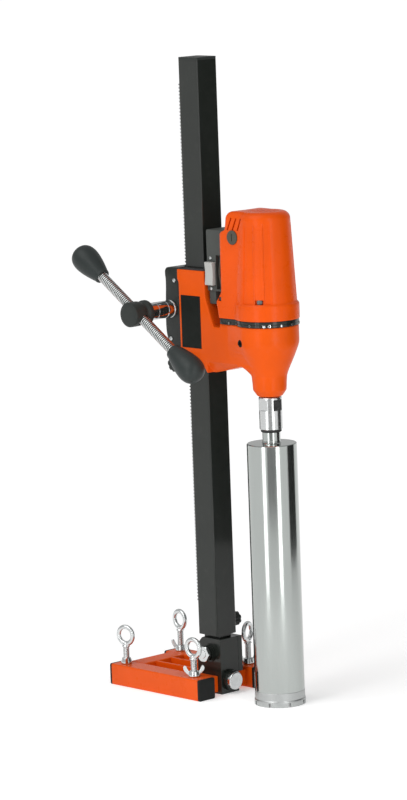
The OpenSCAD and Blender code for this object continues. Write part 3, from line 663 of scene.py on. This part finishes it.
# ------------------------------------------------------------------ carriage casting
CASE_P = [(0, 571), (23.0, 571), (30.6, 582), (31.3, 595), (32.6, 609), (36.2, 619), (42.5, 633), (47.8, 645), (51.8, 655), (54.8, 662.5), (56.3, 668.5), (56.7, 673), (56.7, 701.5), (0, 701.5)]
def build_casting():
    bm = bmesh.new()
    prof = [(-30, 645), (-30, 771), (-33.3, 777), (-33.3, 795), (40, 795), (40, 747), (60, 694), (78, 694), (78, 701.5), (140, 701.5), (140, 630), (128, 625.5), (104, 620), (79, 614),
            (58, 609.5), (40, 606), (35, 614), (26, 623), (14, 632), (2, 638), (-10, 642), (-20, 644.4)]
    A, B, fs = prism(bm, prof, (0, 0, 0), (1, 0, 0), (0, 0, 1), (0, 1, 0), -40, 40)
    bm.edges.ensure_lookup_table()
    low = [e for e in bm.edges if abs(e.verts[0].co.y - e.verts[1].co.y) < 1e-6 and all(v.co.z < 631 and v.co.x > 38 for v in e.verts)]
    bmesh.ops.bevel(bm, geom=low, offset=3, offset_type="OFFSET", segments=3, profile=0.5, affect="EDGES", clamp_overlap=True)
    o1 = temp(bm, "casting")
    bm = bmesh.new()
    revolve(bm, CASE_P, (BX, 0, 0), n=96)
    o2 = temp(bm)
    o3 = tmp_box(-33, -6, -40, -27.2, 608, 650)
    # the nose flares into the web
    flare = [(598, 30.9), (606, 31.3), (609, 32.6), (612, 35.2), (616, 38.8), (620, 43.0), (624, 48.0), (628, 53.5), (633, 59), (640, 61.5), (650, 62)]
    bm = bmesh.new()
    rows = []
    for z in (598, 603, 606, 608, 610, 612, 614, 616, 618, 620, 622, 624, 626, 628, 630.5, 633, 636, 640, 650):
        ring = []
        for i in range(96):
            t = 2*math.pi*i/96
            off = abs(math.degrees(math.atan2(math.sin(t), -math.cos(t))))
            k = 1 - smooth_step(52, 92, off)
            rc = interp([(q[1], q[0]) for q in CASE_P[1:-1]], z) - 0.6
            r = rc + (interp(flare, z) - rc)*k
            if abs(r*math.sin(t)) > 39.6:
                r = max(rc, 39.6/abs(math.sin(t)))
            ring.append(bm.verts.new((BX + r*math.cos(t), r*math.sin(t), z)))
        rows.append(ring)
    for A, B in zip(rows, rows[1:]):
        for i in range(96):
            j = (i + 1) % 96
            bm.faces.new((A[i], A[j], B[j], B[i]))
    bm.faces.new(rows[0]); bm.faces.new(rows[-1])
    o6 = temp(bm)
    # fairings between the flat sides and the round case
    bm = bmesh.new()
    rows = []
    for z, R in ((701.5, 56.6), (671, 56.6), (663, 54.2), (655, 50.6), (646, 46.6), (638, 43.4), (632, 41.0)):
        px, py = 98.0, 39.9
        d = math.hypot(px - BX, py)
        ang = math.atan2(py, px - BX) - math.acos(min(1, R/d))
        tx, ty = BX + R*math.cos(ang), R*math.sin(ang)
        if ty < py:
            tx, ty = 140, py
        ring = [(px, -py), (tx, -ty), (BX, -R*0.8), (BX, R*0.8), (tx, ty), (px, py)]
        rows.append([bm.verts.new((a_, b_, z)) for a_, b_ in ring])
    for A, B in zip(rows, rows[1:]):
        for i in range(6):
            j = (i + 1) % 6
            bm.faces.new((A[i], A[j], B[j], B[i]))
    bm.faces.new(rows[0]); bm.faces.new(rows[-1])
    o4 = temp(bm)
    # boss of the water fitting
    d_ = Vector((math.cos(math.radians(137)), math.sin(math.radians(137)), 0))
    o5 = tmp_cyl((BX, 0, 586.5), d_, 10.5, 20, 35.8)
    o = union([o1, o2, o3, o4, o5, o6])
    # scooped faces under the web
    for s in (-1, 1):
        bm = bmesh.new()
        prism(bm, [(s*41, 630.4), (s*41, 585), (s*3.0, 585)], (0, 0, 0), (0, 1, 0), (0, 0, 1), (1, 0, 0), 40, 119)
        solver_cut(o, temp(bm))
    remesh(o, 1.2, smooth=16, factor=0.5)
    tools = [tmp_box(-60, 27.2, -27.2, 27.2, 560, 820),
             tmp_box(-24.4, 27.6, -50, -38.5, 651, 748), tmp_box(-24.4, 27.6, 38.5, 50, 651, 748),
             tmp_cyl((143.5, 0, 671), (0, 1, 0), 6.9, -62, -49.5, 32), tmp_cyl((143.5, 0, 671), (0, 1, 0), 6.9, 49.5, 62, 32),
             tmp_cyl((BX, 0, 0), (0, 0, 1), 20.5, 560, 590)]
    for t in tools:
        solver_cut(o, t)
    return o
to_piece(build_casting(), "carriage_body", "carriage", "orange_paint", "carriage_casting", angle=42)
from_cad("side_panels", 0.5, 2)
for s, nm in ((-1, "near"), (1, "far")):
    bm = bmesh.new()
    revolve(bm, [(0, 49.2), (6.8, 49.2), (6.8, 52.3), (6.0, 53.3), (4.2, 53.5), (3.4, 53.0), (3.4, 50.5), (0, 50.5)], (143.5, 0, 671), (0, s, 0), n=32)
    finish_mesh("side_plug_" + nm, bm, "carriage", "panel_black", angle=30)

# ------------------------------------------------------------------ pinion housing
def build_housing():
    bm = bmesh.new()
    pts = [(-30, 647), (-30, 771.5), (-33.3, 777.5), (-33.3, 797.4)]
    def arc(cx, cz, r, a0, a1, k):
        return [(cx + r*math.cos(math.radians(a0 + (a1 - a0)*i/k)), cz + r*math.sin(math.radians(a0 + (a1 - a0)*i/k))) for i in range(k + 1)]
    pts += [(-54, 797.0)] + arc(-61.4, 787.2, 9.2, 86, 186, 8) + [(-70.4, 781.5), (-69.6, 777), (-69.2, 771), (-69.4, 758), (-72.2, 715), (-72.4, 690), (-71.6, 676), (-69.6, 666.5), (-66.2, 659), (-61.4, 653.2), (-55.6, 649.4), (-49, 647.4), (-42, 647)]
    prism(bm, pts, (0, 0, 0), (1, 0, 0), (0, 0, 1), (0, 1, 0), -36, 36)
    bevel(bm, 2.6, 4, 60, pick=lambda e: abs(abs(e.verts[0].co.y) - 36) < 0.01 and abs(abs(e.verts[1].co.y) - 36) < 0.01 and e.verts[0].co.y*e.verts[1].co.y > 0)
    o = temp(bm, "housing")
    # the slots for rack, pinion and bushes
    for t in (tmp_box(-46, -20, -12.5, 12.5, 640, 810), tmp_cyl((-54.2, 0, 720), (0, 1, 0), 13, -40, 40, 64), tmp_cyl((-54.2, 0, 720), (0, 1, 0), 16.5, -13, 13, 64)):
        cut(o, t)
    for s in (-1, 1):
        for (x, z) in ((-44, 773), (-58, 664)):
            cut(o, tmp_cyl((x, 0, z), (0, s, 0), 5.2, 35.2, 40, 32))
    return o
to_piece(build_housing(), "feed_housing", "carriage", "housing_black", "pinion_housing", angle=32)
from_cad("column_wiper", 0.4, 1)
k = 0
for s in (-1, 1):
    for (x, z) in ((-44, 773), (-58, 664)):
        screw_head("housing_screw_%d" % k, (x, s*35.3, z), (0, s, 0), 4.0, 2.4, "carriage", "zinc", "hex", node="case_screws" if k == 0 else ())
        k += 1

# ------------------------------------------------------------------ band under the motor cover
def build_band():
    bm = bmesh.new()
    th = [math.radians(-180 + 1.5*i) for i in range(240)]
    rows = []
    for z, ins in ((701.55, 1.0), (702.2, 0.2), (702.9, 0), (706.0, 0), (706.5, 0.7), (707.3, 0.7), (707.8, 0), (711.4, 0), (712.2, 0.2), (712.95, 1.0)):
        ring = []
        for t in th:
            c, s = math.cos(t), math.sin(t)
            R = 57.6
            r = R
            if c < -0.05:
                a_ = (BX - 80.6)/(-c)
                b_ = 43.9/max(abs(s), 1e-3)
                r = smax(R, -smax(-a_, -b_, 7), 2)
            r -= ins
            ring.append(bm.verts.new((BX + r*c, r*s, z)))
        rows.append(ring)
    n = len(th)
    for A, B in zip(rows, rows[1:]):
        for i in range(n):
            bm.faces.new((A[i], A[(i + 1) % n], B[(i + 1) % n], B[i]))
    bm.faces.new(rows[0]); bm.faces.new(rows[-1])
    o = temp(bm, "band")
    for ph in (26.5,):
        t = math.radians(ph - 90)
        bm = bmesh.new()
        vs = box_bm(bm, 54, 62, -0.5, 0.5, 695, 725)
        bmesh.ops.transform(bm, matrix=Matrix.Translation((BX, 0, 0)) @ Matrix.Rotation(t, 4, "Z"), verts=vs)
        cut(o, temp(bm))
    return o
to_piece(build_band(), "motor_band", "carriage", "black_paint", "bearing_plate", angle=30)
for i, ph in enumerate((-52, 11, 39, 49, 72, 96, 128, 160, 205)):
    t = math.radians(ph - 90)
    n_ = Vector((math.cos(t), math.sin(t), 0))
    R = 57.2
    if n_.x < -0.05:
        R = min((BX - 80.6)/(-n_.x), 43.9/max(abs(n_.y), 1e-3)) if min((BX - 80.6)/(-n_.x), 43.9/max(abs(n_.y), 1e-3)) > R else R
        R -= 0.4
    screw_head("band_screw_%d" % i, Vector((BX, 0, 704.9 if i % 2 else 704.5)) + n_*R, n_, 2.6 if i % 3 else 3.1, 1.2, "carriage", "zinc" if ph in (39, 49, 72) else "dark_screw", "hex" if i % 2 else "cross")

# ------------------------------------------------------------------ switch box, rocker
def build_switch():
    bm = bmesh.new()
    box_bm(bm, 44, 88, -36, 36, 759, 872)
    bevel(bm, 3.0, 4)
    o = temp(bm, "sw")
    bm = bmesh.new()
    box_bm(bm, 44.8, 62, -32, 32, 735, 766)
    bevel(bm, 2.0, 3)
    union([o, temp(bm)])
    cut(o, tmp_box(45.9, 67.1, -60, -27, 769.4, 814.6))
    bm = bmesh.new()
    box_bm(bm, 69.2, 90.0, -60, -28, 763.5, 826)
    cut(o, temp(bm))
    cut(o, tmp_cyl((66, 0, 785), (0, 1, 0), 7, 30, 40))
    return o
to_piece(build_switch(), "switch_case", "carriage", "grey_plastic", "switch_box", angle=30)
def build_rocker():
    bm = bmesh.new()
    pts = [(-30.5, -20.8), (-30.5, 20.8), (-38, 21.4), (-42.5, 21.3), (-44.3, 20.6), (-44.5, 19.0), (-43.6, 11), (-43.0, 5.5), (-42.8, 0), (-43.0, -5.5), (-43.6, -11), (-44.5, -19.0), (-44.3, -20.6), (-42.5, -21.3), (-38, -21.4)]
    prism(bm, pts, (56.5, 0, 792), (0, 1, 0), (0, 0, 1), (1, 0, 0), -9.9, 9.9)
    bevel(bm, 1.5, 3, 50, pick=lambda e: abs(e.verts[0].co.x - e.verts[1].co.x) < 1e-4 and e.verts[0].co.y < -37.5)
    return bm
finish_mesh("rocker_key", build_rocker(), "rocker_switch", "light_grey_plastic", "rocker_switch", angle=36)
screw_head("switch_screw_upper", (55.5, -36.0, 820.2), (0, -1, 0), 3.0, 1.6, "carriage", "zinc")
screw_head("switch_screw_lower", (55.5, -36.0, 764.2), (0, -1, 0), 3.0, 1.6, "carriage", "zinc")
# the sleeve of the switch lead, seen in the gap beside the switch
def tube(name, pts, r, body, mat, n=16, caps=True):
    bm = bmesh.new()
    P = [Vector(p) for p in pts]
    rings = []
    ref = Vector((1, 0, 0))
    for i, p in enumerate(P):
        t = (P[min(i + 1, len(P) - 1)] - P[max(i - 1, 0)]).normalized()
        x = (ref - t*ref.dot(t)).normalized()
        y = t.cross(x)
        rings.append([bm.verts.new(p + x*(r*math.cos(2*math.pi*k/n)) + y*(r*math.sin(2*math.pi*k/n))) for k in range(n)])
    for A, B in zip(rings, rings[1:]):
        for k in range(n):
            bm.faces.new((A[k], A[(k + 1) % n], B[(k + 1) % n], B[k]))
    bm.faces.new(rings[0]); bm.faces.new(rings[-1])
    return finish_mesh(name, bm, body, mat, angle=40)
tube("switch_lead", [(79.5 - 6.5*math.sin(math.pi*i/24), -31.2, 768 + 52*i/24) for i in range(25)], 2.0, "carriage", "cap_grey")
tube("switch_lead_inner", [(84.0 - 4.0*math.sin(math.pi*i/24), -31.0, 770 + 48*i/24) for i in range(25)], 1.7, "carriage", "rubber")
from_cad("cable_gland", 0.5, 2)
from_cad("water_inlet", 0.5, 2)

# ------------------------------------------------------------------ base, foot, column
from_cad("base_side_bars", 0.5, 2, mat="bar_paint")
from_cad("base_cross_members", 0.5, 2)
from_cad("anchor_rails", 0.8, 2)
from_cad("bar_end_caps", 1.2, 3, mat="end_black")
from_cad("foot_block", 1.3, 3)
from_cad("tilt_clamp_plate", 1.2, 3)
from_cad("foot_washers", 0.5, 2)
from_cad("tilt_pivot_bolt", 0.6, 2)
from_cad("tilt_pivot_nut", 0.5, 2)
from_cad("foot_clamp_bolt", 0.5, 2)
from_cad("tilt_tongue", 0.6, 2)
from_cad("column_rack", 0.25, 1)
from_cad("column_clamp_knob", 1.2, 3, angle=40)
from_cad("carriage_lock_knob", 1.4, 3, angle=40)

# ------------------------------------------------------------------ levelling screws and wing nuts
SCREWS = (("rear_near", -179, -70, 94, 12, 137), ("front_near", 7, -70, 94, 5, 47), ("rear_far", -179, 70, 101, -5, 20), ("front_far", 7, 70, 101, 109, 70))
def eye_local():
    """Forged eye with its neck; centre of the ring at the origin, ring in the XZ plane."""
    bm = bmesh.new()
    N1, N2 = 64, 20
    rings = []
    for i in range(N1):
        a = 2*math.pi*i/N1
        wr = 4.35 + 0.55*max(0.0, -math.sin(a))**2
        c = Vector((16.0*math.cos(a), 0, 16.0*math.sin(a)))
        e1 = Vector((math.cos(a), 0, math.sin(a)))
        rings.append([bm.verts.new(c + e1*(wr*math.cos(2*math.pi*k/N2)) + Vector((0, 1, 0))*(wr*0.98*math.sin(2*math.pi*k/N2))) for k in range(N2)])
    for i in range(N1):
        A, B = rings[i], rings[(i + 1) % N1]
        for k in range(N2):
            bm.faces.new((A[k], A[(k + 1) % N2], B[(k + 1) % N2], B[k]))
    o = temp(bm, "eye")
    bm = bmesh.new()
    revolve(bm, [(0, -24), (5.4, -24), (5.6, -22.5), (7.6, -21.6), (7.7, -20.2), (6.2, -19.0), (5.6, -17.8), (6.2, -15.5), (5.0, -14.0), (0, -13.6)], (0, 0, 0), n=40)
    union([o, temp(bm)])
    remesh(o, 0.55, smooth=5, factor=0.5)
    return o
EYE = eye_local()
def wing_local():
    bm = bmesh.new()
    revolve(bm, [(0, 0), (9.6, 0), (10.4, 0.7), (10.5, 1.6), (10.2, 4.2), (8.9, 9.6), (8.3, 11), (0, 11)], (0, 0, 0), n=48)
    o = temp(bm, "wing")
    for s in (1, -1):
        bm = bmesh.new()
        pts = [(5.5, 1.0), (8.8, 1.2), (11.0, 2.8), (14.4, 6.4), (18.0, 10.8), (19.6, 14.4), (19.9, 17.6), (18.8, 20.2), (16.6, 21.2), (14.6, 20.2), (12.6, 16.6), (10.6, 12.6), (8.6, 9.6), (5.5, 9.0)]
        prism(bm, [(s*a, b) for a, b in pts], (0, 0, 0), (1, 0, 0), (0, 0, 1), (0, 1, 0), -2.1, 2.1)
        union([o, temp(bm)])
    remesh(o, 0.55, smooth=4, factor=0.5)
    cut(o, tmp_cyl((0, 0, 0), (0, 0, 1), 6.05, -5, 30, 40))
    return o
WING = wing_local()
def copy_of(o, M):
    me = o.data.copy()
    me.transform(M)
    c = bpy.data.objects.new("c", me)
    COLL.objects.link(c)
    return c
for nm, x, y, ez, ey, ny in SCREWS:
    c = copy_of(EYE, Matrix.Translation((x, y, ez)) @ Matrix.Rotation(math.radians(ey), 4, "Z"))
    to_piece(c, "eye_" + nm, "levelling_screw_" + nm, "zinc", "levelling_screw_" + nm, angle=60)
    bm = bmesh.new()
    threaded(bm, (x, y, 0), (0, 0, 1), 6.0, 2.0, ez - 21.5, 1.75, 0.95, n=30, per=8, chamfer=1.2)
    finish_mesh("thread_" + nm, bm, "levelling_screw_" + nm, "zinc", angle=60, wn=False)
    c = copy_of(WING, Matrix.Translation((x, y, 40)) @ Matrix.Rotation(math.radians(ny), 4, "Z"))
    to_piece(c, "wing_" + nm, "wing_nut_" + nm, "zinc", "wing_nut_" + nm, angle=60)
drop(EYE); drop(WING)

# ------------------------------------------------------------------ column cap, core bit
from_cad("column_cap", 0.6, 2)
def build_adapter():
    bm = bmesh.new()
    revolve(bm, [(14, 510), (20.6, 510), (21.2, 510.6), (21.2, 567.6), (20.4, 569.2), (19.2, 570.5), (12.5, 570.5), (12.5, 542.5), (5, 542.5), (5, 532), (14, 532)], (BX, 0, 0), n=96, closed=True)
    o = temp(bm, "ad")
    for t in (tmp_box(BX - 40, BX + 40, 18.4, 40, 545, 565), tmp_box(BX - 40, BX + 40, -40, -18.4, 545, 565), tmp_box(BX + 18.4, BX + 40, -40, 40, 545, 565), tmp_box(BX - 40, BX - 18.4, -40, 40, 545, 565)):
        cut(o, t)
    return o
to_piece(build_adapter(), "spindle_adapter", "spindle", "turned_steel", "bit_adapter", angle=24)
bm = bmesh.new()
revolve(bm, [(14, 505.2), (18.4, 505.2), (19, 505.8), (19, 509.3), (18.4, 509.9), (14, 509.9)], (BX, 0, 0), n=64, closed=True)
finish_mesh("adapter_seal", bm, "spindle", "rubber", "adapter_ring", angle=30)
bm = bmesh.new()
revolve(bm, [(0, 475), (43.5, 475), (43.5, 26), (45.8, 26), (46, 26.3), (46, 300), (46, 482.2), (45.6, 483.4), (44.6, 484.2), (42.5, 484.5), (18.6, 484.5), (17.6, 485.2), (16.8, 487.4), (16.5, 490), (16.5, 504.4), (16.0, 505), (13.98, 505), (13.98, 531), (0, 531)], (BX, 0, 0), n=128)
finish_mesh("core_barrel", bm, "spindle", "barrel_steel", "core_bit", angle=24)
def build_crown():
    bm = bmesh.new()
    revolve(bm, [(42.8, 0.8), (43.4, 0.1), (46.6, 0.1), (47.2, 0.8), (47.25, 6), (47.2, 9.2), (46.9, 11), (46.2, 12.2), (46.1, 25.6), (45.8, 26), (42.8, 26)], (BX, 0, 0), n=160, closed=True)
    o = temp(bm, "crown")
    for i in range(8):
        bm = bmesh.new()
        vs = box_bm(bm, 35, 60, -2.3, 2.3, -1, 8.5)
        bmesh.ops.transform(bm, matrix=Matrix.Translation((BX, 0, 0)) @ Matrix.Rotation(math.radians(i*45 + 22), 4, "Z"), verts=vs)
        cut(o, temp(bm))
    return o
to_piece(build_crown(), "crown_segments", "spindle", "segment_steel", "bit_crown", angle=24)
# ------------------------------------------------------------------ stage
def emit_on(t, b, v):
    b.inputs["Emission Color"].default_value = (1, 1, 1, 1)
    b.inputs["Emission Strength"].default_value = v

def stage():
    m, t, b, tc = nt("stage_white")
    n = noise_tex(t, tc.outputs["Object"], 3, 2)
    r = ramp(t, n.outputs["Fac"], [(0.3, g(0.86)), (0.7, g(0.88))])
    t.links.new(r.outputs["Color"], b.inputs["Base Color"])
    b.inputs["Roughness"].default_value = 0.9
    b.inputs["Specular IOR Level"].default_value = 0.1
    emit_on(t, b, 0.34)
    me = bpy.data.meshes.new("floor")
    bm = bmesh.new()
    bmesh.ops.create_grid(bm, x_segments=1, y_segments=1, size=90)
    bm.to_mesh(me)
    bm.free()
    o = bpy.data.objects.new("floor", me)
    COLL.objects.link(o)
    me.materials.append(m)
    # a dark card outside the picture on the right gives the shaded flanks
    m, t, b, tc = nt("stage_card")
    n = noise_tex(t, tc.outputs["Object"], 2, 2)
    r = ramp(t, n.outputs["Fac"], [(0.3, g(0.02)), (0.7, g(0.03))])
    t.links.new(r.outputs["Color"], b.inputs["Base Color"])
    b.inputs["Roughness"].default_value = 0.9
    me = bpy.data.meshes.new("card")
    bm = bmesh.new()
    vs = [bm.verts.new(v) for v in ((-0.55, 0, 0.02), (0.55, 0, 0.02), (0.55, 0, 2.6), (-0.55, 0, 2.6))]
    bm.faces.new(vs)
    bm.to_mesh(me)
    bm.free()
    o = bpy.data.objects.new("card", me)
    COLL.objects.link(o)
    me.materials.append(m)
    o.location = (0.98, 1.05, 0)
    o.rotation_euler = (0, 0, math.radians(47 + 90))
    o.visible_camera = False
stage()

def floor_patch():
    """A grey patch of floor in front of the picture, mirrored in the middle of the barrel."""
    m, t, b, tc = nt("stage_patch")
    n = noise_tex(t, tc.outputs["Object"], 2, 2)
    r = ramp(t, n.outputs["Fac"], [(0.3, g(0.34)), (0.7, g(0.36))])
    t.links.new(r.outputs["Color"], b.inputs["Base Color"])
    b.inputs["Roughness"].default_value = 0.9
    me = bpy.data.meshes.new("patch")
    bm = bmesh.new()
    bm.faces.new([bm.verts.new(v) for v in ((1.95, -0.75, 0.003), (5.2, -1.7, 0.003), (5.2, 1.7, 0.003), (1.95, 0.75, 0.003))])
    bm.to_mesh(me)
    bm.free()
    o = bpy.data.objects.new("patch", me)
    COLL.objects.link(o)
    me.materials.append(m)
    o.location = (0.12, 0, 0)
    o.rotation_euler = (0, 0, math.radians(-47))
    o.visible_camera = False
floor_patch()

w = bpy.data.worlds.new("world")
bpy.context.scene.world = w
w.use_nodes = True
bg = w.node_tree.nodes["Background"]
bg.inputs[0].default_value = (1, 1, 1, 1)
bg.inputs[1].default_value = 0.55

def area(name, loc, target, size, power, size_y=None):
    d = bpy.data.lights.new(name, "AREA")
    d.energy = power
    d.size = size
    if size_y:
        d.shape = "RECTANGLE"
        d.size_y = size_y
    o = bpy.data.objects.new(name, d)
    COLL.objects.link(o)
    o.location = loc
    o.rotation_euler = (Vector(target) - Vector(loc)).to_track_quat("-Z", "Y").to_euler()
    return o
def polar(az, d, z):
    a = math.radians(az)
    return (0.12 + d*math.cos(a), d*math.sin(a), z)
area("strip", polar(-81, 1.05, 0.83), (0.12, 0, 0.83), 0.25, 3.4, 1.62)
area("soft_right", polar(-18, 1.08, 0.83), (0.12, 0, 0.83), 0.25, 4.0, 1.62)
sun = bpy.data.lights.new("sun", "SUN")
sun.energy = 1.0
sun.angle = math.radians(50)
so = bpy.data.objects.new("sun", sun)
COLL.objects.link(so)
so.rotation_euler = Vector((0.15, 0.75, -0.95)).to_track_quat("-Z", "Y").to_euler()

sc = bpy.context.scene
sc.view_settings.view_transform = "Standard"
sc.view_settings.look = "None"
